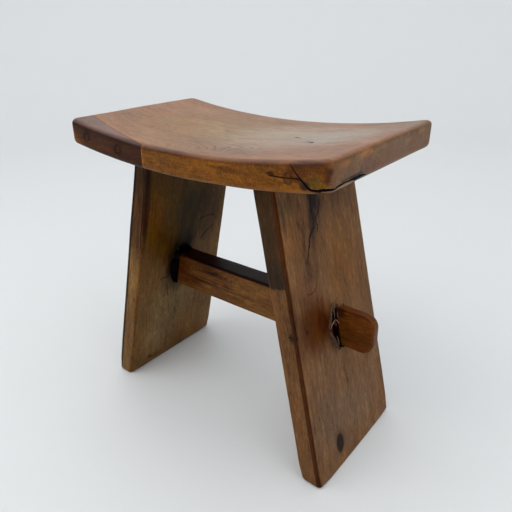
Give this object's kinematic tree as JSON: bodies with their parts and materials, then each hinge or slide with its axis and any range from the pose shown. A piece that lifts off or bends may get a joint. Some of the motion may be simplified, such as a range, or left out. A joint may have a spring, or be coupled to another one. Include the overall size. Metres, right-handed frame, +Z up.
{
  "type": "wooden stool",
  "caption": "Low wooden stool with a dished plank seat, splayed slab legs and a stretcher whose wedged tenons pass through the legs.",
  "frame": {"origin": "on the floor, under the middle of the seat", "axes": "+X along the length of the seat towards the right leg, -Y towards the front edge with the patched corner, +Z up"},
  "size_m": [0.4363, 0.2536, 0.4483],
  "materials": {
    "seat_wood": "satin varnish over reddish brown plank with visible grain",
    "patch_wood": "satin varnish over dark plum brown wood",
    "leg_wood": "satin varnish over streaked brown slab",
    "stretcher_wood": "satin varnish over golden brown bar",
    "dowel_wood": "dark end grain",
    "wedge_wood": "rough dark split wood"
  },
  "bodies": {
    "root": {"seat_board": "seat_wood", "seat_corner_patch": "patch_wood", "patch_dowel_outer": "dowel_wood", "patch_dowel_inner": "dowel_wood", "left_leg": "leg_wood", "right_leg": "leg_wood", "left_leg_front_fox_wedge": "wedge_wood", "left_leg_back_fox_wedge": "wedge_wood", "right_leg_front_fox_wedge": "wedge_wood", "right_leg_back_fox_wedge": "wedge_wood", "stretcher": "stretcher_wood", "left_tenon_wedge": "wedge_wood", "right_tenon_wedge": "wedge_wood"}
  },
  "joints": []
}
